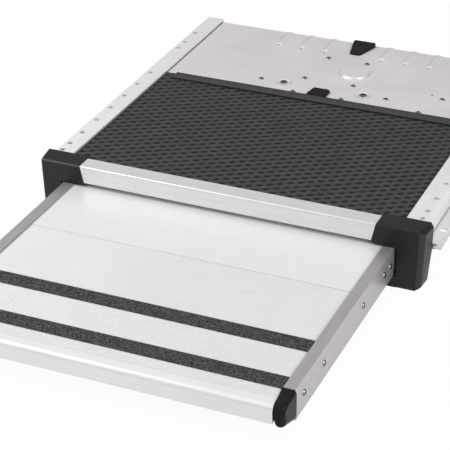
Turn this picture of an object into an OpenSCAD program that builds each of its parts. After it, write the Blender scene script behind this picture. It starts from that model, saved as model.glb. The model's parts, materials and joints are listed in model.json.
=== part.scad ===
// Slide-out entrance step for a caravan or camper, shown with the step out.
// The origin is the middle of the front profile's top face. X runs across the
// vehicle, Y runs in under the floor and Z is up.

/* [Step] */
// Width over the two step rails
step_w = 400; // [330:1:700]
// How far the step stands out of the frame when it is out
step_reach = 320; // [270:1:420]
// How far the nose still stands out when the step is in
nose_out = 30; // [28:1:60]
// Height of a step rail
rail_h = 35; // [30:0.5:50]
// Sheet thickness of a step rail
rail_t = 1.6; // [1.2:0.1:2.5]
// Width of a step rail's flanges
rail_flange_w = 12.6; // [10:0.1:20]
// Length of rail that stays in the cassette when the step is out
rail_tail = 140; // [120:1:220]
// Height of the deck planks
plank_h = 19.5; // [15:0.5:26]
// Wall thickness of the deck planks
plank_wall = 1.6; // [1.2:0.1:2.5]
// Length of deck that stays in the cassette when the step is out
deck_tail = 28; // [18:1:28]
// Distance from the frame's face to the seam between the planks
seam_y = 100; // [60:1:140]
// Spacing of the fine ribs on the front plank
rib_pitch = 2.4; // [1.6:0.1:5]
// Height of the fine ribs
rib_h = 0.5; // [0.3:0.1:1]
// Depth of the smooth band at the nose
nose_band = 14.5; // [10:0.5:25]
// Radius of the nose's upper edge
nose_r = 6; // [3:0.5:8]

/* [Anti-slip tape] */
// Width of a tape
tape_w = 20; // [12:0.5:30]
// Thickness of a tape
tape_t = 1; // [0.6:0.1:1.5]
// Distance from the nose to the front tape
tape_front = 31; // [28:1:45]
// Distance between the two tapes' front edges
tape_step = 68; // [50:1:90]

/* [Step end caps] */
// Length of a step end cap
end_cap_len = 32; // [24:1:38]
// How far a step end cap stands proud of its rail
end_cap_proud = 1.2; // [0.6:0.1:2]
// Height of a step end cap at its front
end_cap_front_h = 26; // [18:0.5:30]
// Radius of a step end cap's lower front corners
end_cap_foot_r = 6.5; // [3:0.5:8]
// Radius round the outer edges of a step end cap
end_cap_r = 5; // [2:0.5:5]
// How far the inner edge of a step end cap slants out to the front
end_cap_slant = 3; // [0:0.5:4]
// Radius of a step end cap's nose, seen from the side
end_cap_nose_r = 10; // [6:0.5:12]

/* [Front frame] */
// Height of the front cross profile
profile_h = 20.5; // [18:0.5:30]
// Depth of the front cross profile
profile_d = 21; // [16:0.5:30]
// Wall thickness of the front cross profile
profile_wall = 1.8; // [1.4:0.1:2.5]
// Radius of the profile's upper front edge
profile_r = 1.6; // [1:0.1:3]
// Depth of a corner cap, front to back
cap_d = 27; // [24:0.5:40]
// Length of a corner cap's arm beside the profile
cap_arm = 29; // [20:1:40]
// How far the end of a corner cap's arm slants back to its top
cap_slant = 4.6; // [0:0.2:8]
// Length of a corner cap's foot under the step rail
cap_foot = 19; // [17:0.5:24]
// Wall thickness of a corner cap
cap_wall = 2.8; // [2:0.1:4]
// How far a corner cap hangs below the side rails
cap_drop = 10; // [6:0.5:20]
// Height of the slanting face along a corner cap's outer top edge
cap_bevel = 5.5; // [2:0.5:7]
// Width of the slim bevel along a corner cap's upper front edge
cap_edge = 1.4; // [0.8:0.1:2]

/* [Side rails] */
// Wall thickness of the side rails
side_t = 2; // [1.5:0.1:3]
// Width of the side rails' top flange
top_flange_w = 22.5; // [18:0.5:32]
// Drop of the top flange below the front profile's top
top_flange_drop = 2.8; // [2.8:0.1:5]
// Drop of the mounting flange below the front profile's top
mount_flange_drop = 30; // [26:0.5:40]
// Width of the mounting flange
mount_flange_w = 19; // [16:0.5:30]
// Width of the ledge that carries the covers
ledge_w = 15; // [12:0.5:20]

/* [Fastening holes] */
// Radius of the holes in the top flange
top_hole_r = 3.25; // [2:0.05:4.5]
// Radius of the holes in the mounting flange
mount_hole_r = 4.2; // [3:0.1:5.5]
// Spacing of the regular holes along both flanges
hole_pitch = 37.5; // [30:0.5:40]
// Number of open holes in each mounting flange
mount_holes = 10; // [4:2:10]
// Number of regular holes in each top flange
top_holes = 6; // [2:1:7]

/* [Covers] */
// Thickness of the covers
cover_t = 1.5; // [1:0.1:2.5]
// Width of the bead over the joint between the covers
bead_w = 16.5; // [14:0.5:26]
// Height of the bead above the covers
bead_h = 3.2; // [2:0.1:5]
// Radius of the raised disc over the drive shaft
disc_r = 20; // [19:0.5:22]
// Height of the raised disc
disc_h = 2.2; // [1.5:0.1:3]
// Width of a pressed rib
rib_w = 9; // [6:0.5:14]
// Length of a pressed rib
rib_len = 42; // [25:1:60]
// Height of a pressed rib
rib_rise = 1.2; // [0.8:0.1:2]
// Thickness of the bar under the joint between the covers
bar_t = 5; // [3:0.5:6]

/* [Guides and stops] */
// Play between a glide and what slides past it
slide_gap = 0.3; // [0.3:0.05:0.6]
// Thickness of the glides above and below the rails
glide_t = 1.3; // [1:0.1:2]
// Thickness of the glides beside the rails
glide_side_t = 2.7; // [2.2:0.1:4]
// Length of the front glides
glide_len = 60; // [40:1:70]
// Length of the rear stops
stop_len = 14; // [10:1:20]
// Radius of the hold-down pads
pad_r = 8; // [5:0.5:9]
// Distance of the hold-down pads from the middle
pad_x = 53; // [50:1:60]

/* [Tie bars] */
// Distance from the frame's face to the front tie bar
tie_bar_in = 34; // [30:1:60]
// Width of the front tie bar
tie_bar_w = 20; // [14:1:30]
// Distance from the cassette's back to the rear tie bar
rear_bar_in = 2; // [1:1:30]
// Width of each flange of the rear tie bar
bar_flange_w = 8; // [8:0.5:12]
// Width of the rear tie bar's crown
bar_crown_w = 22; // [16:1:30]

/* [Fasteners] */
// Radius of the larger screws in the rear cover
screw_r = 2.5; // [2:0.1:3]
// Radius of the small screws
small_screw_r = 1.8; // [1.5:0.1:2]
// Radius of the screws through the step rails
rail_screw_r = 2; // [1.5:0.1:2.4]
// Radius of the heads on the rear cover
cover_head_r = 3.4; // [3.2:0.1:4]
// Radius of the rivets in the mounting flanges
rivet_r = 2; // [1.6:0.1:2.4]

/* [Belt drive] */
// Tooth pitch of the belt
belt_pitch = 5; // [5:1:5]
// Teeth of the driving pulley
drive_teeth = 24; // [23:1:26]
// Teeth of the idler pulley
idler_teeth = 16; // [14:1:18]
// Width of the belt
belt_w = 9; // [6:0.5:10]
// Thickness of the belt
belt_t = 1.5; // [1.2:0.1:2]
// Place of the belt's driven side, right of the middle
belt_x = 2; // [-6:1:6]
// Length of the clamp along the belt
clamp_len = 11.5; // [8:0.5:12]
// Thickness of the clamp's arm
arm_t = 1.5; // [1:0.1:2]
// Radius of the idler's axle
axle_r = 3; // [2:0.25:4]
// Thickness of the sheet brackets
bracket_t = 2; // [1.5:0.1:3]
// Height of a pulley's flanges above its belt
flange_r = 1.5; // [1:0.1:2]

/* [Gearbox and motor] */
// Radius of the gearbox round the output shaft
gearbox_r = 21.5; // [19:0.5:22]
// Height of the gearbox below its lid
gearbox_h = 18; // [17:0.5:20]
// Width of the gearbox's bar in line with the motor
gear_bar_w = 20.4; // [18:0.2:24]
// Distance from the output shaft to the motor's axis
motor_offset = 21; // [20:0.5:22]
// Radius of the output shaft
shaft_r = 5; // [4:0.5:6]
// Diameter of the motor
motor_dia = 36; // [28:1:38]
// Length of the motor
motor_len = 62; // [40:1:80]
// Thickness of the gearbox lid
lid_t = 3; // [2:0.5:4]
// Wall thickness of the shaft bushes
bush_t = 1.5; // [1:0.1:2]
// Length of the lower shaft bush
bush_len = 8; // [6:0.5:12]
// Margin of the gearbox bracket round its screws
bracket_edge = 6.5; // [5:0.5:8]
// Length of the motor's nose, which meets the gearbox
motor_nose = 3; // [2:0.5:6]

/* [Cable gland] */
// Radius of the gland's barrel
gland_r = 7; // [6:0.5:9]
// Radius of the way through for the cable
gland_bore_r = 3.5; // [2:0.25:4.5]
// Distance of the gland from the middle
gland_left = 70; // [50:1:120]

/* [Hidden] */
$fn = 48;

// Colours, as the photograph shows them
aluminium = "#d4d4d5";
rail_grey = "#b4b1b2";
deck_white = "#e5e4e5";
steel = "#cfcbca";
black_plastic = "#343234";
gloss_black = "#1f1e20";
grit = "#3c3a3c";
nylon = "#2c2c2e";
zinc = "#c3c4c2";
brass = "#b99b57";

// Fits
eps = 0.01;
gap = 0.3;
run_fit = 0.05;
fine_gap = 0.1;
pulley_gap = 1;
drive_gap = 0.8;
head_h = 1.2;

// Levels, from the top of the front profile down
flange_top = -top_flange_drop;
cover_top = flange_top - 2.8;
cover_bottom = cover_top - cover_t;
ledge_bottom = cover_bottom - side_t;
belt_top = cover_bottom - bar_t - 0.9;
belt_bottom = belt_top - belt_w;
pulley_top = belt_top + 1;
pulley_bottom = belt_bottom - 1;
rail_room = glide_t + slide_gap;
// the step runs below the front profile, and below the pulleys
deck_limit = pulley_bottom - gap - head_h - arm_t;
track_top = min(-profile_h - 0.4, deck_limit + rail_t + rail_room + side_t);
rail_top = track_top - side_t - rail_room;
rail_bottom = rail_top - rail_h;
rail_mid = (rail_top + rail_bottom) / 2;
track_bottom = rail_bottom - rail_room - side_t;
deck_top = rail_top - rail_t;
plank_bottom = deck_top - plank_h;
tape_top = deck_top + tape_t;
arm_top = deck_top + arm_t;
port_z = plank_bottom + plank_wall + rail_screw_r;
cap_bottom = track_bottom - cap_drop;
flange_z = -mount_flange_drop;
arch_top = rail_top + 1.4;
foot_top = rail_bottom - 0.6;

// Widths, from the middle plane out
rail_x = step_w / 2;
web_in = rail_x - rail_t;
lip_x = rail_x - rail_flange_w;
leg_x = rail_x + glide_side_t + slide_gap;
track_tip = leg_x - ledge_w;
wall_x = leg_x + top_flange_w;
mount_x = wall_x + mount_flange_w;
profile_x = leg_x - cap_arm;
arm_end = profile_x + cap_slant;
cover_x = leg_x - 1;
end_cap_in = lip_x - 1;
tape_x = end_cap_in - 0.2;
top_hole_x = wall_x - 6;
mount_hole_x = wall_x + mount_flange_w / 2;

// Places along Y
front_y = -profile_d / 2;
stroke = step_reach - nose_out;
back_y = front_y + profile_d;
nose_y = front_y - step_reach;
tail_y = front_y + rail_tail;
deck_back = front_y + deck_tail;
seam = front_y - seam_y;
end_cap_back = nose_y + end_cap_len;
stop_y = tail_y + stroke + gap;
cassette_y = stop_y + stop_len + 26;
rear_wall_y = cassette_y - 4;
glide_start = front_y + max(8, end_cap_len - nose_out + 2);
cover_front = back_y + 0.5;
pad_y = deck_back + stroke - 2.5;
joint_y = pad_y - 28.5;

// Drive
drive_r = drive_teeth * belt_pitch / (2 * PI);
idler_r = idler_teeth * belt_pitch / (2 * PI);
idler_y = back_y + bracket_t + pulley_gap + idler_r + flange_r;
idler_x = belt_x + idler_r;
clamp_y = idler_y + idler_r + gap;
// the retracted clamp stays clear of the driving pulley's flange
drive_y = clamp_y + clamp_len + stroke + drive_r + 2;
drive_x = belt_x + drive_r;
bracket_top = deck_top - drive_gap;
lid_top = bracket_top - bracket_t;
housing_top = lid_top - lid_t;
housing_bottom = housing_top - gearbox_h;
motor_y = drive_y + motor_offset;
motor_z = housing_top - 8;
box_left = drive_x - 54;
box_right = drive_x + 25;
motor_x = box_left - motor_nose;

// Points that the covers' holes and the screws under them share
bead_back = joint_y + 1;
front_clip_y = bead_back + 1.5;
rear_clip_len = 38;
spacer_points = [
  [-32.5, drive_y - 38], [belt_x + 30.5, drive_y - 38],
  [-26.5, drive_y + 32], [belt_x + 24.5, drive_y + 32]
];
bar_y = bead_back + 4.5;
bar_screw_x = [-32, 32, 132];
edge_screw_x = rail_x - 6;
edge_screw_y = [joint_y + 23, rear_wall_y - 20];
plate_screw_at = [[-83, pad_y - 1.5], [83, pad_y - 1.5], [148, pad_y + 24]];
plate_hole_at = [132.5, pad_y + 32];
plate_hole_r = 2;
small_hole_r = 1.6;
rib_x = [39, 71.3, 104];
rail_screw_y = [11, 30, seam_y - 4, step_reach - 109, step_reach - 55];

// Shapes drawn in a plane and run along an axis

module along_y(y0, y1) {
  translate([0, y1, 0]) rotate([90, 0, 0]) linear_extrude(y1 - y0) children();
}

module along_x(x0, x1) {
  translate([x0, 0, 0]) rotate([90, 0, 90]) linear_extrude(x1 - x0) children();
}

// A rectangle from one corner to the opposite one
module area(a0, b0, a1, b1) {
  translate([a0, b0]) square([a1 - a0, b1 - b0]);
}

// A block from one corner to the opposite one
module block(x0, y0, z0, x1, y1, z1) {
  translate([x0, y0, z0]) cube([x1 - x0, y1 - y0, z1 - z0]);
}

// An upright round bar between two levels
module post(x, y, z0, z1, r) {
  translate([x, y, z0]) cylinder(r = r, h = z1 - z0);
}

module left() {
  mirror([1, 0, 0]) children();
}

module both_sides() {
  children();
  mirror([1, 0, 0]) children();
}

// Cassette: side rails

top_hole_y = concat(
  [front_y + 36, front_y + 54],
  [for (i = [0 : top_holes - 1]) front_y + 85 + i * hole_pitch],
  [cassette_y - 112, cassette_y - 91, cassette_y - 58]
);
mount_hole_y = [for (i = [0 : mount_holes - 1]) front_y + 67.5 + i * hole_pitch];
rivet_y = front_y + 31;
rivet_head_r = 3.2;

module side_rail_section() {
  // inner leg, with the track below and the cover's ledge above
  area(leg_x, track_bottom, leg_x + side_t, flange_top);
  area(track_tip, track_top - side_t, leg_x + side_t, track_top);
  area(track_tip, track_bottom, leg_x + side_t, track_bottom + side_t);
  area(track_tip, ledge_bottom, leg_x + side_t, cover_bottom);
  // top flange, outer wall and mounting flange
  area(leg_x, flange_top - side_t, wall_x, flange_top);
  area(wall_x - side_t, flange_z - side_t, wall_x, flange_top);
  area(wall_x - side_t, flange_z - side_t, mount_x, flange_z);
}

module side_rail() {
  difference() {
    along_y(front_y + cap_wall + 0.7, cassette_y) side_rail_section();
    // the mounting flange starts behind the corner cap
    block(wall_x, front_y, flange_z - side_t - 1, mount_x + 1, front_y + cap_d + 0.5, flange_z + 1);
    // the ledge and the track start behind the front profile
    block(track_tip - 1, front_y, ledge_bottom - 1, leg_x, back_y + 0.5, cover_bottom + 1);
    block(track_tip - 1, front_y, track_bottom - 1, leg_x, glide_start, track_top + 1);
    for (y = top_hole_y) {
      post(top_hole_x, y, flange_top - side_t - 1, flange_top + 1, top_hole_r);
    }
    for (y = mount_hole_y) {
      post(mount_hole_x, y, flange_z - side_t - 1, flange_z + 1, mount_hole_r);
    }
    post(mount_hole_x, rivet_y, flange_z - side_t - 1, flange_z + 1, rivet_r);
    for (y = edge_screw_y) {
      post(edge_screw_x, y, ledge_bottom - 1, cover_bottom + 1, small_screw_r);
    }
    for (y = tie_screw_y) {
      post(tie_screw_x, y, track_bottom - 1, track_bottom + side_t + 1, small_screw_r);
    }
  }
}

module right_side_rail() {
  color(aluminium) side_rail();
}

module left_side_rail() {
  color(aluminium) left() side_rail();
}

// Rivets in the front ends of the mounting flanges

module flange_rivets() {
  color(zinc) both_sides() translate([mount_hole_x, rivet_y, 0]) {
    post(0, 0, flange_z - side_t - 1.5, flange_z + eps, rivet_r);
    translate([0, 0, flange_z]) cylinder(r1 = rivet_head_r, r2 = rivet_head_r - 0.8, h = 1);
    translate([0, 0, flange_z + 1]) cylinder(r1 = rivet_head_r - 0.8, r2 = 1, h = 0.8);
    translate([0, 0, flange_z - side_t - 1.5]) cylinder(r1 = 2.4, r2 = 3, h = 1.5);
  }
}

// Cassette: front frame

module front_profile() {
  color(aluminium) difference() {
    along_x(-arm_end, arm_end) difference() {
      union() {
        area(front_y, -profile_h, back_y, -profile_r);
        area(front_y + profile_r, -profile_h, back_y, 0);
        translate([front_y + profile_r, -profile_r]) circle(profile_r);
        // lip that carries the front edge of the cover
        area(back_y - 1, ledge_bottom, back_y + 5, cover_bottom);
      }
      area(front_y + profile_wall, profile_wall - profile_h, back_y - profile_wall, -profile_wall);
    }
    // slanting ends, a little short of the corner caps
    both_sides() translate([-gap, 0, 0]) beyond_slant(front_y - 1, back_y + 6);
  }
}

// All that lies beyond the slanting end of a corner cap's arm
module beyond_slant(y0, y1) {
  along_y(y0, y1) polygon([
    [arm_end + cap_slant / profile_h, 1], [wall_x, 1], [wall_x, -profile_h - 9],
    [profile_x - 9 * cap_slant / profile_h, -profile_h - 9]
  ]);
}

// A level cut through a corner cap's leg, its points as far out from the side rail's wall
module leg_slice(z, h, start, front, middle, back) {
  translate([0, front_y, z]) linear_extrude(h) polygon([
    [leg_x + gap, start], [wall_x + front, start], [wall_x + middle, 8],
    [wall_x + back, cap_d], [leg_x + gap, cap_d]
  ]);
}

module cap_leg() {
  hull() {
    leg_slice(-0.1, 0.1, cap_edge, 2, 3.6, 6.5);
    leg_slice(-cap_edge, 0.1, 0, 2, 4.6, 7.3);
    leg_slice(-cap_bevel, 0.1, 0, 2, 7.3, 9.7);
    leg_slice(arch_top - 10, 0.1, 0, 1.2, 6, 8.9);
    leg_slice(cap_bottom + 1.5, 0.1, 0, 0, 4.2, 5.4);
    leg_slice(cap_bottom, 0.1, 0.6, -0.6, 3, 4);
  }
}

module corner_cap() {
  foot_x = leg_x - cap_foot;
  difference() {
    union() {
      cap_leg();
      // arm beside the profile, its bevel in line with the leg's, and its end slanting
      intersection() {
        along_x(profile_x - 3, leg_x + gap + eps) polygon([
          [front_y, arch_top], [front_y, -cap_edge], [front_y + cap_edge, 0],
          [front_y + cap_d, 0], [front_y + cap_d, arch_top]
        ]);
        beyond_slant(front_y - 1, front_y + cap_d + 1);
      }
      // foot under the step rail
      block(foot_x, front_y, cap_bottom, leg_x + gap + eps, front_y + cap_d, foot_top);
    }
    // way in for the cover's corner
    block(profile_x - 1, back_y, cover_bottom - gap, arm_end + cap_wall + 1,
      front_y + cap_d + 1, cover_top + gap);
    // room for the side rail, open to the back
    block(arm_end + cap_wall, front_y + cap_wall + 0.7, foot_top,
      wall_x + gap, front_y + cap_d + 1, flange_top);
    block(foot_x + cap_wall, front_y + cap_wall + 0.7, cap_bottom + cap_wall,
      wall_x + gap, front_y + cap_d + 1, foot_top + eps);
  }
  // spigot inside the profile
  block(profile_x - 18, front_y + profile_wall + 0.2, profile_wall + 0.2 - profile_h,
    arm_end + cap_wall, back_y - profile_wall - 0.2, -profile_wall - 0.2);
}

module right_corner_cap() {
  color(black_plastic) corner_cap();
}

module left_corner_cap() {
  color(black_plastic) left() corner_cap();
}

// Cassette: covers

module front_cover() {
  color(black_plastic) block(-cover_x, cover_front, cover_bottom, cover_x, joint_y, cover_top);
}

module cover_bead() {
  // low upright edges and a round back, with its rear edge over the rear cover
  color(black_plastic) along_x(-track_tip, track_tip) intersection() {
    translate([bead_back - bead_w / 2, cover_top + bead_h - bead_round]) circle(bead_round, $fn = 96);
    area(bead_back - bead_w, cover_top, bead_back, cover_top + bead_h);
  }
}
bead_round = 30;

// Section of a pressed rib, its crown up
module rib_section() {
  polygon([
    [-rib_w / 2, -eps], [-rib_w * 0.2, rib_rise], [rib_w * 0.2, rib_rise], [rib_w / 2, -eps]
  ]);
}

module pressed_rib(x) {
  // slopes up from its front end, runs back to the bend and down over it
  intersection() {
    along_x(x - rib_w / 2, x + rib_w / 2) polygon([
      [rear_wall_y - rib_len, cover_top - eps], [rear_wall_y - rib_len + 5, cover_top + rib_rise],
      [rear_wall_y, cover_top + rib_rise], [rear_wall_y + rib_rise, cover_top - eps]
    ]);
    translate([x, 0, cover_top]) along_y(rear_wall_y - rib_len, rear_wall_y + rib_rise) rib_section();
  }
  intersection() {
    along_x(x - rib_w / 2, x + rib_w / 2) polygon([
      [rear_wall_y - eps, cover_top], [rear_wall_y + rib_rise, cover_top],
      [rear_wall_y + rib_rise, cover_top - 20], [rear_wall_y - eps, cover_top - 24]
    ]);
    translate([x, rear_wall_y, cover_top - 24]) linear_extrude(24) rib_section();
  }
}

module rear_cover() {
  color(steel) difference() {
    union() {
      block(-cover_x, joint_y + gap, cover_bottom, cover_x, rear_wall_y, cover_top);
      block(gap - track_tip, rear_wall_y - cover_t, track_bottom,
        track_tip - gap, rear_wall_y, cover_bottom + eps);
      both_sides() for (x = rib_x) pressed_rib(x);
      translate([drive_x, drive_y, cover_top - eps]) {
        cylinder(r1 = disc_r, r2 = disc_r - 1.6, h = disc_h);
      }
      for (s = [-1, 1]) post(s * pad_x, pad_y, cover_top - eps, cover_top + 0.6, 9.5);
    }
    // hollow under the raised disc
    translate([drive_x, drive_y, cover_bottom - eps]) cylinder(r = disc_r - 3, h = disc_h);
    // countersunk rings for the pad screws
    for (s = [-1, 1]) {
      translate([s * pad_x, pad_y, cover_bottom - 1]) cylinder(r = screw_r, h = 5);
      translate([s * pad_x, pad_y, cover_top - 0.7]) {
        cylinder(r1 = screw_r * 1.8 + 0.1, r2 = 7.6, h = 1.31);
      }
    }
    for (p = spacer_points) post(p[0], p[1], cover_bottom - 1, cover_top + 1, screw_r);
    for (x = bar_screw_x) post(x, bar_y, cover_bottom - 1, cover_top + 1, small_screw_r);
    for (p = plate_screw_at) post(p[0], p[1], cover_bottom - 1, cover_top + 1, small_screw_r);
    post(plate_hole_at[0], plate_hole_at[1], cover_bottom - 1, cover_top + 1, plate_hole_r);
    both_sides() {
      for (y = edge_screw_y) translate([edge_screw_x, y, 0]) {
        post(0, 0, cover_bottom - 1, cover_top + 1, small_screw_r);
        translate([0, 0, cover_top - sunk_h]) {
          cylinder(r1 = small_screw_r + fine_gap, r2 = sunk_r + fine_gap + eps, h = sunk_h + eps);
        }
      }
      for (x = rib_x) post(x, rear_wall_y - rib_len - 1.5, cover_bottom - 1, cover_top + 2, small_hole_r);
    }
    // way through for the cable gland
    translate([gland_x, rear_wall_y - cover_t - 1, gland_z]) rotate([-90, 0, 0]) {
      cylinder(r = gland_r, h = cover_t + 2);
    }
  }
}

// A domed screw head on a cover, with its drive recess and the shank below
module cover_screw(x, y, depth, shank) {
  difference() {
    union() {
      post(x, y, cover_top - depth, cover_top + eps, shank);
      translate([x, y, cover_top]) {
        cylinder(r1 = cover_head_r, r2 = cover_head_r - 0.5, h = 0.7);
        translate([0, 0, 0.7]) cylinder(r1 = cover_head_r - 0.5, r2 = cover_head_r - 1.3, h = 0.6);
        translate([0, 0, 1.3]) cylinder(r1 = cover_head_r - 1.3, r2 = cover_head_r - 2, h = 0.25);
      }
    }
    post(x, y, cover_top + 0.3, cover_top + 2, recess_r);
  }
}
recess_r = 1.7;

module cross_bar_screws() {
  color(zinc) for (x = bar_screw_x) cover_screw(x, bar_y, cover_t + 4, small_screw_r);
}

// Sunk heads of the edge screws, flush with the cover
sunk_h = 1.2;
sunk_r = small_screw_r + sunk_h;

module cover_edge_screws() {
  color(zinc) both_sides() for (y = edge_screw_y) translate([edge_screw_x, y, 0]) {
    post(0, 0, ledge_bottom - 3, cover_top - sunk_h, small_screw_r);
    translate([0, 0, cover_top - sunk_h]) cylinder(r1 = small_screw_r, r2 = sunk_r, h = sunk_h);
  }
}

module plate_screws() {
  // with nuts under the cover
  color(zinc) for (p = plate_screw_at) {
    cover_screw(p[0], p[1], cover_t + 4, small_screw_r);
    translate([p[0], p[1], cover_bottom - 2.4]) cylinder(r = 3.8, h = 2.4, $fn = 6);
  }
}

module gearbox_screws() {
  color(zinc) for (p = spacer_points) cover_screw(p[0], p[1], cover_top - lid_top, screw_r);
}

module pad_screws() {
  // low heads with drive recesses, sunk in the rings
  color(zinc) for (s = [-1, 1]) translate([s * pad_x, pad_y, 0]) {
    post(0, 0, cover_top - 12, cover_top - 0.7 + eps, screw_r);
    translate([0, 0, cover_top - 0.7]) difference() {
      cylinder(r1 = screw_r * 1.8, r2 = screw_r * 1.8 - 0.5, h = 1.3);
      translate([0, 0, 0.4]) cylinder(r = recess_r + 0.6, h = 1);
    }
  }
}

module hold_down_pads() {
  color(nylon) for (s = [-1, 1]) difference() {
    post(s * pad_x, pad_y, deck_top + slide_gap, cover_bottom, pad_r);
    post(s * pad_x, pad_y, cover_top - 12.5, cover_bottom + 1, screw_r);
  }
}

// Bar under the joint between the covers, resting against the ledges
module cover_cross_bar() {
  color(aluminium) difference() {
    along_y(joint_y - 11, bar_y + 5.5) {
      area(gap - track_tip, cover_bottom - bar_t, track_tip - gap, cover_bottom);
      area(-cover_x, cover_bottom - bar_t, cover_x, ledge_bottom);
    }
    for (x = bar_screw_x) post(x, bar_y, cover_bottom - bar_t - 1, cover_bottom + 1, small_screw_r);
  }
}

// Moulded clips on the rear cover's front and rear edges

// A wedge with round corners and a bevelled top, from its front edge; w, x and h are the
// width, the place of the middle and the height, each at the front and at the back
module edge_clip(y, d, w, x, h) {
  corner_r = 3;
  hull() for (i = [0, 1], s = [-1, 1]) {
    at_y = i == 0 ? y + corner_r : y + d - corner_r;
    translate([x[i] + s * (w[i] / 2 - corner_r), at_y, cover_top]) {
      cylinder(r = corner_r, h = h[i] - 0.8, $fn = 32);
      translate([0, 0, h[i] - 0.8]) cylinder(r1 = corner_r, r2 = corner_r - 1.2, h = 0.8, $fn = 32);
    }
  }
}

module front_edge_clip() {
  color(gloss_black) edge_clip(front_clip_y, 19, [25, 22.5], [-0.5, 1], [2.6, 3.6]);
}

module rear_edge_clip() {
  color(gloss_black) {
    edge_clip(rear_wall_y - rear_clip_len, rear_clip_len, [15, 30], [1.5, 3], [2, 5]);
  }
}

// Cassette: tie bars under the tracks

tie_bar_y = front_y + tie_bar_in;
crown_back = cassette_y - rear_bar_in - bar_flange_w;
crown_front = crown_back - bar_crown_w;
tie_screw_x = track_tip + 7;
tie_screw_y = [
  tie_bar_y + tie_bar_w / 2, crown_front - bar_flange_w / 2, crown_back + bar_flange_w / 2
];

module front_tie_bar() {
  color(steel) difference() {
    block(-leg_x, tie_bar_y, track_bottom - side_t, leg_x, tie_bar_y + tie_bar_w, track_bottom);
    both_sides() {
      post(tie_screw_x, tie_screw_y[0], track_bottom - side_t - 1, track_bottom + 1, small_screw_r);
    }
  }
}

module rear_tie_bar() {
  // hat section, whose crown stands level with the corner caps' feet
  color(steel) difference() {
    along_x(-leg_x, leg_x) {
      area(crown_front - bar_flange_w, track_bottom - side_t, crown_front + side_t, track_bottom);
      area(crown_back - side_t, track_bottom - side_t, crown_back + bar_flange_w, track_bottom);
      area(crown_front, cap_bottom, crown_front + side_t, track_bottom);
      area(crown_back - side_t, cap_bottom, crown_back, track_bottom);
      area(crown_front, cap_bottom, crown_back, cap_bottom + side_t);
    }
    both_sides() for (i = [1, 2]) {
      post(tie_screw_x, tie_screw_y[i], track_bottom - side_t - 1, track_bottom + 1, small_screw_r);
    }
  }
}

module tie_bar_screws() {
  color(zinc) both_sides() for (y = tie_screw_y) {
    post(tie_screw_x, y, track_bottom - side_t - 1.5, track_bottom + side_t, small_screw_r);
    translate([tie_screw_x, y, track_bottom - side_t - 1.5]) cylinder(r = 3.4, h = 1.5);
  }
}

// Guides: the front pair stays in the tracks, the rear pair travels

module glide_section(x_in, x_out, z_low, z_high) {
  area(track_tip, rail_top + slide_gap, x_out, z_high);
  area(track_tip, z_low, x_out, rail_bottom - slide_gap);
  area(x_in, z_low, x_out, z_high);
}

module front_glide() {
  along_y(glide_start, glide_start + glide_len) difference() {
    glide_section(rail_x + slide_gap, leg_x, track_bottom + side_t, track_top - side_t);
    // groove that lets the rail's screw heads pass
    area(rail_x, port_z - 7, leg_x - 0.9, port_z + 7);
  }
}

module right_front_glide() {
  color(nylon) front_glide();
}

module left_front_glide() {
  color(nylon) left() front_glide();
}

module rear_glide() {
  along_y(glide_start + glide_len + slide_gap, tail_y) {
    area(track_tip + 1, rail_top, leg_x - slide_gap, rail_top + glide_t);
    area(track_tip + 1, rail_bottom - glide_t, leg_x - slide_gap, rail_bottom);
    area(rail_x, rail_bottom - glide_t, leg_x - slide_gap, rail_top + glide_t);
  }
}

module right_rear_glide() {
  color(nylon) rear_glide();
}

module left_rear_glide() {
  color(nylon) left() rear_glide();
}

module rear_stops() {
  color(nylon) both_sides() {
    block(track_tip + 1, stop_y, track_bottom + side_t, leg_x, stop_y + stop_len, track_top - side_t);
  }
}

// Step: rails

module step_rail() {
  difference() {
    along_y(end_cap_back, tail_y) {
      area(web_in, rail_bottom, rail_x, rail_top);
      area(lip_x, rail_top - rail_t, rail_x, rail_top);
      area(lip_x, rail_bottom, rail_x, rail_bottom + rail_t);
    }
    for (y = rail_screw_y) {
      translate([web_in - 1, front_y - y, port_z]) rotate([0, 90, 0]) {
        cylinder(r = rail_screw_r, h = rail_t + 2);
      }
    }
  }
}

module right_step_rail() {
  color(rail_grey) step_rail();
}

module left_step_rail() {
  color(rail_grey) left() step_rail();
}

module rail_screws() {
  // self-tapping screws into the planks' ends
  for (y = rail_screw_y) translate([0, front_y - y, port_z]) rotate([0, 90, 0]) {
    translate([0, 0, rail_x - 14]) cylinder(r = rail_screw_r, h = 14 + eps);
    translate([0, 0, rail_x]) difference() {
      cylinder(r1 = 3.8, r2 = 3, h = 1);
      translate([0, 0, 0.3]) cylinder(r = recess_r, h = 1);
    }
  }
}

module right_rail_screws() {
  color(zinc) rail_screws();
}

module left_rail_screws() {
  color(zinc) left() rail_screws();
}

// Step: planks, hollow sections with screw ports

// Screw ports whose screws lie between two places
function ports(y0, y1) = [
  for (y = rail_screw_y) if (front_y - y > y0 && front_y - y < y1) front_y - y
];

module plank_hollows(y0, y1) {
  // chambers between upright webs about 30 mm apart, less the bosses of the screw ports
  count = max(1, round((y1 - y0) / 30));
  pitch = (y1 - y0 - plank_wall) / count;
  difference() {
    for (i = [0 : count - 1]) {
      area(y0 + plank_wall + i * pitch, plank_bottom + plank_wall,
        y0 + (i + 1) * pitch, deck_top - rib_h - plank_wall);
    }
    for (y = ports(y0, y1)) translate([y, port_z]) circle(rail_screw_r + 1.5);
  }
  for (y = ports(y0, y1)) translate([y, port_z]) circle(rail_screw_r);
}

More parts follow.
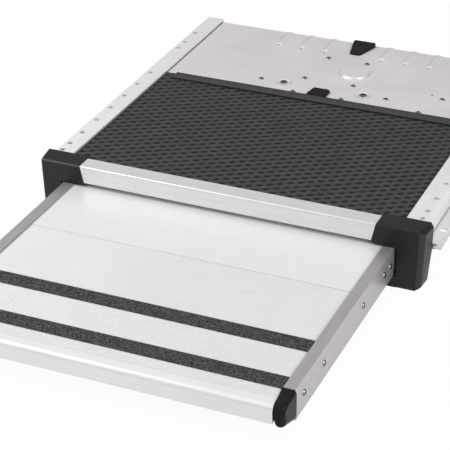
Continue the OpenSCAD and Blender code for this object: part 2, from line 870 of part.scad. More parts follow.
module rear_plank() {
  color(deck_white) difference() {
    along_x(-web_in, web_in) difference() {
      area(seam, plank_bottom, deck_back, deck_top);
      plank_hollows(seam, deck_back);
      // fine groove at the seam
      area(seam - 1, deck_top - 0.8, seam + 0.5, deck_top + 1);
    }
    for (x = clamp_screw_x) post(x, clamp_screw_y, plank_bottom + 8, deck_top + 1, small_screw_r);
  }
}

ribs_y = nose_y + nose_band;
rib_count = floor((seam - ribs_y - 1) / rib_pitch);

// Points on an arc round a centre, between two angles
function arc(x, y, r, a0, a1, n) = [
  for (i = [0 : n]) let (a = a0 + (a1 - a0) * i / n) [x + r * cos(a), y + r * sin(a)]
];

// Outline of one fine rib, from its front foot to its rear foot
function fine_rib(y) = [
  [y, deck_top - rib_h], [y + rib_pitch * 0.12, deck_top],
  [y + rib_pitch * 0.5, deck_top], [y + rib_pitch * 0.62, deck_top - rib_h]
];

// Outline of the front plank: upright face, rounded band, then the ribs
front_outline = concat(
  [[nose_y, plank_bottom]],
  arc(nose_y + nose_r, deck_top - nose_r, nose_r, 180, 90, 8),
  [[ribs_y, deck_top], [ribs_y, deck_top - rib_h]],
  [for (i = [0 : rib_count - 1]) each fine_rib(ribs_y + 1 + i * rib_pitch)],
  [[seam, deck_top - rib_h], [seam, plank_bottom]]
);

module front_plank() {
  color(deck_white) difference() {
    along_x(-web_in, web_in) difference() {
      polygon(front_outline);
      plank_hollows(ribs_y, seam);
      area(nose_y + 2, plank_bottom + plank_wall, ribs_y, deck_top - nose_r);
      area(nose_y + nose_r, plank_bottom + plank_wall, ribs_y, deck_top - 2);
    }
    // the end caps take the place of the nose's ends
    both_sides() translate([0, 0, plank_bottom - 1]) linear_extrude(plank_h + 2) polygon([
      [end_cap_in + end_cap_slant - fine_gap, nose_y - 1], [rail_x + 1, nose_y - 1],
      [rail_x + 1, end_cap_back + fine_gap], [end_cap_in - fine_gap, end_cap_back + fine_gap]
    ]);
  }
}

// Step: tapes

module tape(front) {
  block(-tape_x, front, deck_top, tape_x, front + tape_w, tape_top);
}

module front_tape() {
  color(grit) tape(nose_y + tape_front);
}

module rear_tape() {
  color(grit) tape(nose_y + tape_front + tape_step);
}

// Step: end caps

module end_cap() {
  // upright back, a round nose and a bottom that slants up to the front; its inner edges are
  // tighter, and slant out to the front
  back_in = [end_cap_in, 1, 1];
  back_out = [rail_x + end_cap_proud, -1, end_cap_r];
  front_in = [end_cap_in + end_cap_slant, 1, 1];
  foot_r = min(end_cap_foot_r, (back_out[0] - front_in[0]) / 2);
  hull() {
    for (s = [back_in, back_out], z = [rail_top - s[2], rail_bottom + 1 + s[2]]) {
      translate([s[0] + s[1] * s[2], end_cap_back, z]) rotate([90, 0, 0]) {
        cylinder(r = s[2], h = 1, $fn = 32);
      }
    }
    for (s = [front_in, back_out]) {
      for (p = arc(nose_y + end_cap_nose_r, rail_top - end_cap_nose_r,
          end_cap_nose_r - s[2], 180, 90, 3)) {
        translate([s[0] + s[1] * s[2], p[0], p[1]]) sphere(r = s[2], $fn = 32);
      }
      translate([s[0] + s[1] * foot_r, nose_y + foot_r + 0.5,
          rail_top - end_cap_front_h + foot_r]) {
        sphere(r = foot_r, $fn = 32);
      }
    }
  }
}

module right_end_cap() {
  color(gloss_black) end_cap();
}

module left_end_cap() {
  color(gloss_black) left() end_cap();
}

// Drive: belt and pulleys

// Direction from the idler to the driving pulley, and the slanting side's normal
drive_way = [drive_x - idler_x, drive_y - idler_y];
drive_unit = drive_way / norm(drive_way);
slant_normal = 2 * ([-1, 0] * drive_unit) * drive_unit - [-1, 0];

slant_angle = atan2(slant_normal[1], slant_normal[0]);

function belt_loop(grow) = concat(
  arc(drive_x, drive_y, drive_r + grow, slant_angle, 180, 36),
  arc(idler_x, idler_y, idler_r + grow, 180, 360 + slant_angle, 36)
);

module drive_belt() {
  color(nylon) translate([0, 0, belt_bottom]) linear_extrude(belt_w) difference() {
    polygon(belt_loop(belt_t / 2));
    polygon(belt_loop(-belt_t / 2));
  }
}

module pulley(teeth, r, bore_r) {
  // toothed rim, whose tips stay just inside the belt, between two flanges
  tip = r - belt_t / 2 - 0.35;
  difference() {
    union() {
      translate([0, 0, pulley_bottom]) cylinder(r = r + flange_r, h = 0.7);
      translate([0, 0, pulley_top - 0.7]) cylinder(r = r + flange_r, h = 0.7);
      translate([0, 0, pulley_bottom]) linear_extrude(pulley_top - pulley_bottom) difference() {
        circle(tip);
        for (i = [0 : teeth - 1]) rotate(i * 360 / teeth) polygon([
          [tip - 1.1, -0.8], [tip + 0.5, -1.3], [tip + 0.5, 1.3], [tip - 1.1, 0.8]
        ]);
      }
    }
    translate([0, 0, pulley_bottom - 1]) cylinder(r = bore_r, h = pulley_top - pulley_bottom + 2);
  }
}

module drive_pulley() {
  color(zinc) translate([drive_x, drive_y, 0]) pulley(drive_teeth, drive_r, shaft_r);
}

module idler_pulley() {
  color(zinc) translate([idler_x, idler_y, 0]) pulley(idler_teeth, idler_r, axle_r + run_fit);
}

module idler_bracket() {
  // angle on the profile's back, with the axle's hole in its top
  color(steel) difference() {
    union() {
      block(idler_x - 13, back_y, 1 - profile_h, idler_x + 13, back_y + bracket_t, ledge_bottom);
      block(idler_x - 13, back_y, ledge_bottom - bracket_t, idler_x + 13, idler_y + 12, ledge_bottom);
    }
    post(idler_x, idler_y, ledge_bottom - bracket_t - 1, ledge_bottom + 1, axle_r);
  }
}

// The axle's foot stays clear of the clamp's arm and the tapes
axle_bottom = max(arm_top, tape_top) + gap;

module idler_axle() {
  color(steel) {
    post(idler_x, idler_y, axle_bottom, ledge_bottom, axle_r);
    post(idler_x, idler_y, pulley_top + gap, ledge_bottom - bracket_t, axle_r + 2);
    post(idler_x, idler_y, axle_bottom, pulley_bottom - gap, axle_r + 1.5);
  }
}

// Step: clamp on the belt

clamp_screw_x = [belt_x - 8, belt_x];
clamp_screw_y = deck_back - 8;
belt_room = belt_t / 2 + gap;

module belt_clamp() {
  color(steel) difference() {
    union() {
      block(belt_x - 12, deck_back - 16, deck_top, belt_x + 6, clamp_y + clamp_len, arm_top);
      block(belt_x - 7, clamp_y, deck_top, belt_x + 5, clamp_y + clamp_len, belt_top);
    }
    block(belt_x - belt_room, clamp_y - 1, belt_bottom - gap,
      belt_x + belt_room, clamp_y + clamp_len + 1, belt_top + 1);
    for (x = clamp_screw_x) post(x, clamp_screw_y, deck_top - 1, arm_top + 1, small_screw_r);
  }
}

module clamp_screws() {
  color(zinc) for (x = clamp_screw_x) translate([x, clamp_screw_y, 0]) {
    post(0, 0, deck_top - 9, arm_top + eps, small_screw_r);
    post(0, 0, arm_top, arm_top + head_h, small_screw_r * 1.7);
  }
}

// Drive: gearbox

module gearbox_plan() {
  // round part about the output shaft, and a bar in line with the motor
  translate([drive_x, drive_y]) circle(gearbox_r, $fn = 96);
  area(box_left, motor_y - gear_bar_w / 2, box_right, motor_y + gear_bar_w / 2);
}

module gearbox_housing() {
  // closed casting with the way through for the output shaft and its lower bush
  color(zinc) difference() {
    translate([0, 0, housing_bottom]) linear_extrude(gearbox_h) gearbox_plan();
    post(drive_x, drive_y, housing_bottom - 1, housing_top + 1, shaft_r + bush_t);
  }
}

module gearbox_lid() {
  color(zinc) difference() {
    translate([0, 0, housing_top]) linear_extrude(lid_t) gearbox_plan();
    post(drive_x, drive_y, housing_top - 1, lid_top + 1, shaft_r + bush_t);
  }
}

module gearbox_bracket() {
  // plate between the gearbox and the spacer tubes, cut back beside the motor
  left_x = spacer_points[0][0] - bracket_edge;
  right_x = spacer_points[1][0] + bracket_edge;
  front = spacer_points[0][1] - bracket_edge;
  back = spacer_points[2][1] + bracket_edge;
  notch = motor_y - motor_dia / 2 - 1;
  color(steel) difference() {
    translate([0, 0, lid_top]) linear_extrude(bracket_t) difference() {
      polygon([
        [left_x, front], [right_x, front], [right_x, back], [motor_x + 1, back],
        [motor_x + 1, notch], [left_x, notch]
      ]);
      translate([drive_x, drive_y]) circle(shaft_r + bush_t + 1);
    }
    for (p = spacer_points) post(p[0], p[1], lid_top - 1, bracket_top + 1, screw_r);
  }
}

module spacer_tubes() {
  color(zinc) for (p = spacer_points) difference() {
    post(p[0], p[1], bracket_top, cover_bottom, screw_r + 0.7);
    post(p[0], p[1], bracket_top - 1, cover_bottom + 1, screw_r);
  }
}

module shaft_bushes() {
  color(brass) {
    tube(drive_x, drive_y, housing_top, lid_top, shaft_r + run_fit, shaft_r + bush_t);
    tube(drive_x, drive_y, housing_bottom, housing_bottom + bush_len,
      shaft_r + run_fit, shaft_r + bush_t);
  }
}

module tube(x, y, z0, z1, r_in, r_out) {
  difference() {
    post(x, y, z0, z1, r_out);
    post(x, y, z0 - 1, z1 + 1, r_in);
  }
}

module output_shaft() {
  color(steel) {
    post(drive_x, drive_y, housing_bottom + 0.5, cover_top - 0.4, shaft_r);
    // collar on the pulley
    post(drive_x, drive_y, pulley_top, pulley_top + 1.2, shaft_r + 1.6);
  }
}

module motor() {
  // can with a nose that meets the gearbox
  color(black_plastic) translate([motor_x, motor_y, motor_z]) rotate([0, 90, 0]) {
    translate([0, 0, -motor_len]) cylinder(r = motor_dia / 2, h = motor_len);
    translate([0, 0, -motor_len - 3]) cylinder(r = motor_dia / 2 - 7, h = 4);
    cylinder(r = 9, h = motor_nose);
  }
}

// Cable gland in the rear wall

gland_x = -gland_left;
gland_z = rail_mid;

module cable_gland() {
  color(black_plastic) translate([gland_x, rear_wall_y, gland_z]) rotate([-90, 0, 0]) difference() {
    union() {
      translate([0, 0, -cover_t - 6]) cylinder(r = gland_r, h = cover_t + 7);
      translate([0, 0, -cover_t - 5]) cylinder(r = gland_r + 3, h = 5, $fn = 6);
      cylinder(r = gland_r + 2.5, h = 4, $fn = 6);
      translate([0, 0, 4 - eps]) cylinder(r1 = gland_r + 1, r2 = gland_r - 1, h = 5.5);
    }
    translate([0, 0, -20]) cylinder(r = gland_bore_r, h = 40);
  }
}

left_side_rail();
right_side_rail();
front_profile();
left_corner_cap();
right_corner_cap();
front_cover();
cover_bead();
rear_cover();
front_edge_clip();
rear_edge_clip();
cover_cross_bar();
cross_bar_screws();
cover_edge_screws();
plate_screws();
gearbox_screws();
pad_screws();
hold_down_pads();
front_tie_bar();
rear_tie_bar();
tie_bar_screws();
left_front_glide();
right_front_glide();
rear_stops();
flange_rivets();
idler_bracket();
idler_axle();
drive_belt();
spacer_tubes();
gearbox_bracket();
gearbox_housing();
gearbox_lid();
shaft_bushes();
motor();
cable_gland();
left_step_rail();
right_step_rail();
front_plank();
rear_plank();
front_tape();
rear_tape();
left_end_cap();
right_end_cap();
left_rail_screws();
right_rail_screws();
left_rear_glide();
right_rear_glide();
belt_clamp();
clamp_screws();
drive_pulley();
output_shaft();
idler_pulley();
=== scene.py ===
"""Looks for the slide-out entrance step: materials, fine pieces, floor, light and camera.

All lengths are in metres, in the part's own frame. At rest the step is out, to the front.
"""

import json
import math

import bmesh
import bpy
from mathutils import Matrix, Vector, noise


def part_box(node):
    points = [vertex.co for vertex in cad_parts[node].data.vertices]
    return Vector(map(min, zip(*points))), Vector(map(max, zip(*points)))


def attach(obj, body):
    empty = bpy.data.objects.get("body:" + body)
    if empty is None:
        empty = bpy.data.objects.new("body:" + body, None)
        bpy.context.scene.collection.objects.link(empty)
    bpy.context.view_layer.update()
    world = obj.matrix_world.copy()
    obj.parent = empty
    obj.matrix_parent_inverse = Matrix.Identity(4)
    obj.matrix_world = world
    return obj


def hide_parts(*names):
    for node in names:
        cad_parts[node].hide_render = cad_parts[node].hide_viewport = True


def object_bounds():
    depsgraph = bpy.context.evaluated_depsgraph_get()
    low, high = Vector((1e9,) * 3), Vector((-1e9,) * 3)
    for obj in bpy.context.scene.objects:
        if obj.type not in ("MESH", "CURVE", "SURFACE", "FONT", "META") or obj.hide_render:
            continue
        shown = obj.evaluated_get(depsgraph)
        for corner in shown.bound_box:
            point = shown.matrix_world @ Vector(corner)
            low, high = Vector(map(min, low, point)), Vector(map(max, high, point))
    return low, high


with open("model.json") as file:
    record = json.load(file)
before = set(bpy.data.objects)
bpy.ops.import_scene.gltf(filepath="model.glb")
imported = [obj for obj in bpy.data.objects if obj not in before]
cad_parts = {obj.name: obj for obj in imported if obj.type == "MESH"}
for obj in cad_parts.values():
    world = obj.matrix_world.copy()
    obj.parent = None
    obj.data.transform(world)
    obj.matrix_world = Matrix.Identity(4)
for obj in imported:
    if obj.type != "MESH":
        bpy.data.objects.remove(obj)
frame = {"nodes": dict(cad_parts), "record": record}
cad_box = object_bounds()
nodes = frame["nodes"]
MM = 0.001


# Materials: every one is procedural, in the object's own metres

# Sockets of a Mix node that mixes colours
MIX_FIRST, MIX_SECOND, MIX_RESULT = 6, 7, 2
# Most of a noise lies between these values
NOISE_LOW, NOISE_HIGH = 0.3, 0.7
EVEN = (1, 1, 1)
ALONG_X = (0.02, 1, 1)
ALONG_Y = (1, 0.02, 1)


def grey(tone):
    return (tone, tone, tone)


def shade(color, factor):
    return tuple(min(1.0, c * factor) for c in color)


def new_material(name, color, rough, metallic=0.0, **settings):
    mat = bpy.data.materials.new(name)
    mat.use_nodes = True
    tree = mat.node_tree
    shader = tree.nodes["Principled BSDF"]
    shader.inputs["Base Color"].default_value = (*color, 1)
    shader.inputs["Roughness"].default_value = rough
    shader.inputs["Metallic"].default_value = metallic
    for key, value in settings.items():
        shader.inputs[key.replace("_", " ")].default_value = value
    return mat, tree, shader


def add(tree, kind, **values):
    """Adds a shader node, and sets its properties or else its inputs."""
    node = tree.nodes.new("ShaderNode" + kind)
    for key, value in values.items():
        if hasattr(node, key):
            setattr(node, key, value)
        else:
            node.inputs[key.replace("_", " ")].default_value = value
    return node


def noise_at(tree, scale, stretch=EVEN, detail=3.0, rough=0.55):
    """Noise in the piece's own coordinates, in features per metre, stretched along an axis."""
    place = add(tree, "TexCoord")
    spread = add(tree, "Mapping", Scale=stretch)
    tex = add(tree, "TexNoise", Scale=scale, Detail=detail, Roughness=rough)
    tree.links.new(place.outputs["Object"], spread.inputs["Vector"])
    tree.links.new(spread.outputs["Vector"], tex.inputs["Vector"])
    return tex.outputs["Fac"]


def ramp(tree, source, low, high, start=NOISE_LOW, end=NOISE_HIGH):
    """Maps a value from start..end to a colour between low and high."""
    node = add(tree, "ValToRGB")
    node.color_ramp.elements[0].position = start
    node.color_ramp.elements[1].position = end
    node.color_ramp.elements[0].color = (*low, 1)
    node.color_ramp.elements[1].color = (*high, 1)
    tree.links.new(source, node.inputs["Fac"])
    return node.outputs["Color"]


def span(tree, source, low, high, start=NOISE_LOW, end=NOISE_HIGH):
    """Maps a value from start..end to a number between low and high."""
    node = add(tree, "MapRange")
    node.inputs["From Min"].default_value = start
    node.inputs["From Max"].default_value = end
    node.inputs["To Min"].default_value = low
    node.inputs["To Max"].default_value = high
    tree.links.new(source, node.inputs["Value"])
    return node.outputs["Result"]


def multiplied(tree, first, second):
    mixed = add(tree, "Mix", data_type="RGBA", blend_type="MULTIPLY")
    mixed.inputs["Factor"].default_value = 1.0
    tree.links.new(first, mixed.inputs[MIX_FIRST])
    tree.links.new(second, mixed.inputs[MIX_SECOND])
    return mixed.outputs[MIX_RESULT]


def bump(tree, shader, source, strength, depth):
    node = add(tree, "Bump", Strength=strength, Distance=depth)
    tree.links.new(source, node.inputs["Height"])
    tree.links.new(node.outputs["Normal"], shader.inputs["Normal"])


# How far the painted shade in corners reaches, and how open a point in it and one clear of it are
CORNER_SHADE_REACH = 3 * MM
CORNER_SHADE_SAMPLES = 6
CLOSED, OPEN = 0.42, 0.88


def corners(tree, color, floor):
    """Paints shade into a colour in corners and gaps, down to a share of itself."""
    near = add(tree, "AmbientOcclusion", Distance=CORNER_SHADE_REACH)
    near.samples = CORNER_SHADE_SAMPLES
    level = span(tree, near.outputs["AO"], floor, 1.0, CLOSED, OPEN)
    return multiplied(tree, color, level)


# Features per metre of drawn lines and of cloudy tone, and the depth of the lines
LINES_PER_M = 900
METAL_CLOUDS_PER_M = 14
LINE_DEPTH = 0.04 * MM


def metal(name, color, rough, grain=EVEN, spread=0.05, metallic=1.0, strength=0.12, cloud=0.965,
          corner=0.3):
    """Metal with drawn or rolled grain: fine lines along an axis, and cloudy tone and gloss, with
    painted shade in its corners and gaps.
    """
    mat, tree, shader = new_material(name, color, rough, metallic)
    lines = noise_at(tree, LINES_PER_M, grain, 4.0, 0.6)
    clouds = noise_at(tree, METAL_CLOUDS_PER_M)
    drawn = ramp(tree, lines, shade(color, 1 - spread), shade(color, 1 + spread))
    tone = multiplied(tree, drawn, ramp(tree, clouds, grey(cloud), grey(1.0)))
    # painted shade: the colour darkens in corners and gaps, down to the share corner of itself
    tree.links.new(corners(tree, tone, corner), shader.inputs["Base Color"])
    tree.links.new(span(tree, lines, rough * 0.85, rough * 1.2), shader.inputs["Roughness"])
    bump(tree, shader, lines, strength, LINE_DEPTH)
    return mat


# Features per metre of a moulded surface's grain and of its cloudy gloss
MOULD_GRAIN_PER_M = 1400
MOULD_CLOUDS_PER_M = 40


def plastic(name, color, rough, depth=0.06 * MM, strength=0.5, **settings):
    """Moulded plastic: fine spark-eroded grain, and cloudy tone and gloss."""
    mat, tree, shader = new_material(name, color, rough, **settings)
    grain = noise_at(tree, MOULD_GRAIN_PER_M, EVEN, 2.0, 0.6)
    clouds = noise_at(tree, MOULD_CLOUDS_PER_M)
    tone = ramp(tree, clouds, shade(color, 0.86), shade(color, 1.16))
    tree.links.new(tone, shader.inputs["Base Color"])
    tree.links.new(span(tree, clouds, rough * 0.88, rough * 1.12), shader.inputs["Roughness"])
    bump(tree, shader, grain, strength, depth)
    return mat


# The patterned cover's upper face, the depth of its pits, and its clouds and grain per metre
COVER_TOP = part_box("front_cover")[1][2]
PIT_DEPTH = 1.3 * MM
PIT_ROUGH = 0.7
PATTERN_CLOUDS_PER_M = 30
PATTERN_GRAIN_PER_M = 1500
PATTERN_GRAIN_DEPTH = 0.05 * MM


def pattern_material(name, ridge, pit_shade, rough, **settings):
    """Moulded plastic: painted shade makes the pits dark, and they are dull, while the ridges
    between them are rubbed smooth.
    """
    mat, tree, shader = new_material(name, ridge, rough, **settings)
    place = add(tree, "TexCoord")
    axes = add(tree, "SeparateXYZ")
    tree.links.new(place.outputs["Object"], axes.inputs["Vector"])
    # painted shade: the colour darkens from the ridges down into the pits
    level = span(tree, axes.outputs["Z"], 0.0, 1.0, COVER_TOP - PIT_DEPTH, COVER_TOP)
    clouds = noise_at(tree, PATTERN_CLOUDS_PER_M)
    tone = multiplied(tree, ramp(tree, level, pit_shade, ridge, 0.0, 0.85),
                      ramp(tree, clouds, grey(0.86), grey(1.0)))
    tree.links.new(tone, shader.inputs["Base Color"])
    gloss = ramp(tree, level, grey(PIT_ROUGH), grey(rough), 0.2, 0.9)
    tree.links.new(gloss, shader.inputs["Roughness"])
    grain = noise_at(tree, PATTERN_GRAIN_PER_M, EVEN, 2.0)
    bump(tree, shader, grain, 0.4, PATTERN_GRAIN_DEPTH)
    return mat


# Mineral grains of the tapes: how many in a metre, and their height
GRAINS_PER_M = 850.0
GRAIN_DEPTH = 0.3 * MM


def grit_material(name, color):
    """Anti-slip tape: mineral grains in a dark binder, differing in tone, the brightest painted as
    glints.
    """
    mat, tree, shader = new_material(name, color, 0.8)
    place = add(tree, "TexCoord")
    cells = add(tree, "TexVoronoi", Scale=GRAINS_PER_M)
    tree.links.new(place.outputs["Object"], cells.inputs["Vector"])
    grain = cells.outputs["Color"]
    # grains differ in tone at random, and the brightest are painted glints
    tone = ramp(tree, grain, shade(color, 0.3), shade(color, 4.2), 0.3, 0.98)
    tree.links.new(tone, shader.inputs["Base Color"])
    tree.links.new(ramp(tree, grain, grey(0.75), grey(0.3), 0.5, 0.98), shader.inputs["Roughness"])
    bump(tree, shader, cells.outputs["Distance"], 0.6, GRAIN_DEPTH)
    return mat


# corner is the share of a metal's colour that its painted corner shade leaves
METALS = {
    "mill_aluminium": dict(color=(0.88, 0.872, 0.876), rough=0.38, grain=ALONG_X, metallic=0.6),
    "rail_aluminium": dict(color=(0.90, 0.885, 0.895), rough=0.42, grain=ALONG_Y, metallic=0.3),
    "brushed_rail": dict(color=(0.56, 0.53, 0.54), rough=0.36, grain=ALONG_Y, spread=0.1,
                         metallic=0.7),
    "pale_deck": dict(color=(0.885, 0.878, 0.882), rough=0.32, grain=ALONG_X, spread=0.02,
                      metallic=0.22, corner=0.85),
    "galvanised_sheet": dict(color=(0.93, 0.872, 0.873), rough=0.36, grain=ALONG_X, spread=0.03,
                             metallic=0.4, cloud=0.9),
    "galvanised_steel": dict(color=(0.56, 0.56, 0.55), rough=0.26),
    "zinc_fasteners": dict(color=(0.27, 0.27, 0.265), rough=0.2),
    "cast_alloy": dict(color=(0.58, 0.58, 0.57), rough=0.5, strength=0.4),
    "bronze": dict(color=(0.66, 0.46, 0.2), rough=0.3),
    "shaft_steel": dict(color=(0.56, 0.56, 0.57), rough=0.22),
}
PLASTICS = {
    "black_motor": dict(color=(0.03, 0.03, 0.032), rough=0.35),
    "black_moulding": dict(color=(0.009, 0.0085, 0.009), rough=0.36, Specular_IOR_Level=0.36),
    "black_bead": dict(color=(0.03, 0.029, 0.03), rough=0.24),
    "gloss_black": dict(color=(0.017, 0.016, 0.017), rough=0.24, depth=0.02 * MM, strength=0.2,
                        Specular_IOR_Level=0.05),
    "nylon": dict(color=(0.03, 0.03, 0.032), rough=0.45),
    "belt_rubber": dict(color=(0.025, 0.025, 0.026), rough=0.65),
}
MATS = {name: metal(name, **look) for name, look in METALS.items()}
MATS.update({name: plastic(name, **look) for name, look in PLASTICS.items()})
# the second colour is the painted shade at the bottom of the pits
MATS["patterned_cover"] = pattern_material(
    "patterned_cover", (0.061, 0.058, 0.061), grey(0.005), 0.42, Specular_IOR_Level=0.18)
MATS["grit_tape"] = grit_material("grit_tape", (0.026, 0.0245, 0.026))

# The side rails are drawn along Y, and the other parts of their slot along X
SIDE_RAILS = ("left_side_rail", "right_side_rail")
slot_of = {s["node"]: s["material_slot"] for s in frame["record"]["subparts"]}
for name, node in nodes.items():
    key = "rail_aluminium" if name in SIDE_RAILS else slot_of[name]
    node.data.materials.clear()
    node.data.materials.append(MATS[key])


# Fine rounds on the sheet, extruded and moulded parts that show, in millimetres
ROUNDS = {
    "left_side_rail": 0.35, "right_side_rail": 0.35, "front_profile": 0.4, "rear_cover": 0.3,
    "left_corner_cap": 0.9, "right_corner_cap": 0.9, "cover_bead": 0.4, "front_edge_clip": 0.4,
    "rear_edge_clip": 0.4, "left_step_rail": 0.7, "right_step_rail": 0.7,
}
# Edges that turn by more than this are rounded, and in how many steps
ROUNDED_ANGLE = math.radians(40)
ROUND_STEPS = 2
for name, width in ROUNDS.items():
    soft = nodes[name].modifiers.new("rounds", "BEVEL")
    soft.width = width * MM
    soft.segments = ROUND_STEPS
    soft.limit_method = "ANGLE"
    soft.angle_limit = ROUNDED_ANGLE
    soft.harden_normals = True


# Pieces

def piece(name, mesh, body, slot, replaced):
    obj = bpy.data.objects.new(name, mesh)
    bpy.context.scene.collection.objects.link(obj)
    obj.data.materials.append(MATS[slot])
    for face in mesh.polygons:
        face.use_smooth = True
    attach(obj, body)
    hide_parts(replaced)


def slab_with_relief(name, low, high, step_x, step_y, depth):
    """A slab between two corners, whose top lies depth(x, y) below its upper face."""
    nx = max(2, round((high[0] - low[0]) / step_x))
    ny = max(2, round((high[1] - low[1]) / step_y))
    bm = bmesh.new()
    rows = []
    for j in range(ny + 1):
        y = low[1] + (high[1] - low[1]) * j / ny
        rows.append([])
        for i in range(nx + 1):
            x = low[0] + (high[0] - low[0]) * i / nx
            edge = i in (0, nx) or j in (0, ny)
            rows[-1].append(bm.verts.new((x, y, high[2] - (0 if edge else depth(x, y)))))
    for j in range(ny):
        for i in range(nx):
            bm.faces.new((rows[j][i], rows[j][i + 1], rows[j + 1][i + 1], rows[j + 1][i]))
    # sides and underside
    rim = rows[0] + [r[-1] for r in rows[1:]] + rows[-1][-2::-1] + [r[0] for r in rows[-2:0:-1]]
    foot = [bm.verts.new((v.co.x, v.co.y, low[2])) for v in rim]
    for k in range(len(rim)):
        n = (k + 1) % len(rim)
        bm.faces.new((rim[n], rim[k], foot[k], foot[n]))
    bm.faces.new(foot[::-1])
    mesh = bpy.data.meshes.new(name)
    bm.to_mesh(mesh)
    bm.free()
    return mesh


# Patterned cover: slanting lens-shaped pits with ridges between them, in rows that are half of
# PIT_Y apart, every second one half of PIT_X along
PIT_X = 20.36 * MM
PIT_Y = 11.67 * MM
PIT_AT = (4.67 * MM, 0.72 * MM)
PIT_HALF = (5.6 * MM, 3.5 * MM)
PIT_SLANT = 0.36
# Power that a pit deepens by from its rim
PIT_POWER = 0.8
# Mesh points in a pitch, along X and Y
PIT_POINTS = (14, 12)


def pits(x, y):
    best = 1.0
    nearest = round((y - PIT_AT[1]) / (PIT_Y / 2))
    for row in (nearest - 1, nearest, nearest + 1):
        dx = (x - PIT_AT[0]) / PIT_X - (row % 2) / 2
        dx = (dx - round(dx)) * PIT_X
        dy = y - PIT_AT[1] - row * PIT_Y / 2 - PIT_SLANT * dx
        best = min(best, (dx / PIT_HALF[0]) ** 2 + (dy / PIT_HALF[1]) ** 2)
    return PIT_DEPTH * (1.0 - best) ** PIT_POWER


low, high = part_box("front_cover")
panel = slab_with_relief("patterned_panel", low, high, PIT_X / PIT_POINTS[0],
                         PIT_Y / PIT_POINTS[1], pits)
piece("patterned_panel", panel, "cassette", "patterned_cover", "front_cover")


# Anti-slip tapes: coarse grains, their depth, the mesh's pitch, and how many in a metre
GRIT_DEPTH = 0.45 * MM
GRIT_STEP = 0.9 * MM
GRIT_PER_M = 900


def grains(x, y):
    return (0.5 - 0.5 * noise.noise(Vector((x, y, 0.0)) * GRIT_PER_M)) * GRIT_DEPTH


for name in ("front_tape", "rear_tape"):
    low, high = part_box(name)
    mesh = slab_with_relief(name + "_grit", low, high, GRIT_STEP, GRIT_STEP, grains)
    piece(name + "_grit", mesh, "step", "grit_tape", name)


# Floor, world, lights and camera

FLOOR_DROP = 0.3 * MM
FLOOR_HALF = 6
# Share of plain white in what the camera sees of the floor, and in what gloss and glass see
CAMERA_WHITE = 0.95
MIRROR_WHITE = 0.4


def make_floor():
    mesh = bpy.data.meshes.new("floor")
    bm = bmesh.new()
    level = cad_box[0][2] - FLOOR_DROP
    for x, y in ((-1, -1), (1, -1), (1, 1), (-1, 1)):
        bm.verts.new((x * FLOOR_HALF, y * FLOOR_HALF, level))
    bm.faces.new(bm.verts)
    bm.to_mesh(mesh)
    bm.free()
    floor = bpy.data.objects.new("floor", mesh)
    bpy.context.scene.collection.objects.link(floor)
    mat, tree, shader = new_material("floor_white", grey(0.93), 0.9)
    glow = add(tree, "Emission", Color=(1, 1, 1, 1), Strength=1.0)
    # the rest of it is lit, and keeps the object's shadow
    ray = add(tree, "LightPath")
    seen = add(tree, "Math", operation="MULTIPLY")
    seen.inputs[1].default_value = CAMERA_WHITE
    either = add(tree, "Math", operation="MAXIMUM")
    mirrored = add(tree, "Math", operation="MULTIPLY")
    mirrored.inputs[1].default_value = MIRROR_WHITE
    most = add(tree, "Math", operation="MAXIMUM")
    tree.links.new(ray.outputs["Is Camera Ray"], seen.inputs[0])
    tree.links.new(ray.outputs["Is Glossy Ray"], either.inputs[0])
    tree.links.new(ray.outputs["Is Transmission Ray"], either.inputs[1])
    tree.links.new(either.outputs[0], mirrored.inputs[0])
    tree.links.new(seen.outputs[0], most.inputs[0])
    tree.links.new(mirrored.outputs[0], most.inputs[1])
    mix = add(tree, "MixShader")
    tree.links.new(most.outputs[0], mix.inputs[0])
    tree.links.new(shader.outputs[0], mix.inputs[1])
    tree.links.new(glow.outputs[0], mix.inputs[2])
    tree.links.new(mix.outputs[0], tree.nodes["Material Output"].inputs["Surface"])
    mesh.materials.append(mat)


# Sky: its tone at a height from 0, the horizon, to 1, overhead, and how blue its middle is
SKY_ENDS = (0.22, 1.0)
SKY_MIDDLE = ((0.25, 0.22), (0.42, 0.5), (0.7, 0.9))
SKY_BLUE = 1.01
SKY_STRENGTH = 0.75


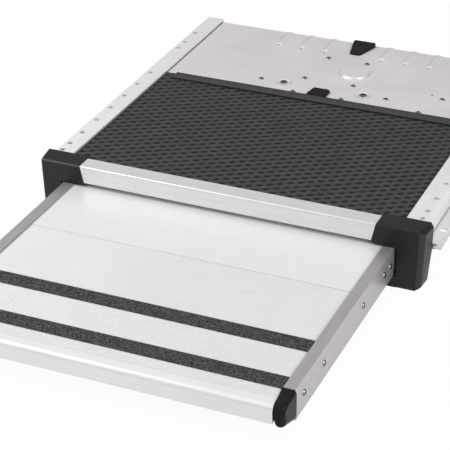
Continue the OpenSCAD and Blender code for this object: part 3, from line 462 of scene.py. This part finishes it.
def make_world():
    world = bpy.data.worlds.new("studio")
    bpy.context.scene.world = world
    world.use_nodes = True
    tree = world.node_tree
    around = tree.nodes["Background"]
    place = add(tree, "TexCoord")
    axes = add(tree, "SeparateXYZ")
    tree.links.new(place.outputs["Generated"], axes.inputs["Vector"])
    sky = add(tree, "ValToRGB")
    for end, tone in enumerate(SKY_ENDS):
        sky.color_ramp.elements[end].position = end
        sky.color_ramp.elements[end].color = (*grey(tone), 1)
    for height, tone in SKY_MIDDLE:
        sky.color_ramp.elements.new(height).color = (tone, tone, tone * SKY_BLUE, 1)
    tree.links.new(axes.outputs["Z"], sky.inputs["Fac"])
    tree.links.new(sky.outputs["Color"], around.inputs["Color"])
    around.inputs["Strength"].default_value = SKY_STRENGTH
    # the camera sees plain white
    white = add(tree, "Background", Color=(1, 1, 1, 1), Strength=1.0)
    ray = add(tree, "LightPath")
    mix = add(tree, "MixShader")
    tree.links.new(ray.outputs["Is Camera Ray"], mix.inputs[0])
    tree.links.new(around.outputs[0], mix.inputs[1])
    tree.links.new(white.outputs[0], mix.inputs[2])
    tree.links.new(mix.outputs[0], tree.nodes["World Output"].inputs["Surface"])


def lamp(name, place, size, power):
    """A square lamp that faces the frame's origin."""
    data = bpy.data.lights.new(name, "AREA")
    data.shape = "SQUARE"
    data.size = size
    data.energy = power
    obj = bpy.data.objects.new(name, data)
    bpy.context.scene.collection.objects.link(obj)
    turn = (-Vector(place)).to_track_quat("-Z", "Y").to_matrix().to_4x4()
    obj.matrix_world = Matrix.Translation(place) @ turn


# The photograph's camera, fitted to the frame's straight edges
CAMERA_AT = (0.67452, -1.53181, 0.89145)
CAMERA_RIGHT = (0.91709, 0.39854, -0.01076)
CAMERA_UP = (-0.18589, 0.45131, 0.87279)
CAMERA_BACK = (0.35269, -0.79843, 0.48798)
CAMERA_LENS = 136.616
CAMERA_SENSOR = 36.0
CAMERA_FAR = 50


def make_camera():
    data = bpy.data.cameras.new("camera")
    data.lens = CAMERA_LENS
    data.sensor_width = CAMERA_SENSOR
    data.clip_end = CAMERA_FAR
    obj = bpy.data.objects.new("camera", data)
    bpy.context.scene.collection.objects.link(obj)
    turn = Matrix((CAMERA_RIGHT, CAMERA_UP, CAMERA_BACK)).transposed().to_4x4()
    obj.matrix_world = Matrix.Translation(CAMERA_AT) @ turn
    bpy.context.scene.camera = obj


make_floor()
make_world()
lamp("key", (-0.9, -0.4, 0.95), 0.8, 9.6)
lamp("fill", (1.7, -0.5, 0.9), 1.0, 15)
make_camera()
bpy.context.scene.view_settings.view_transform = "Standard"
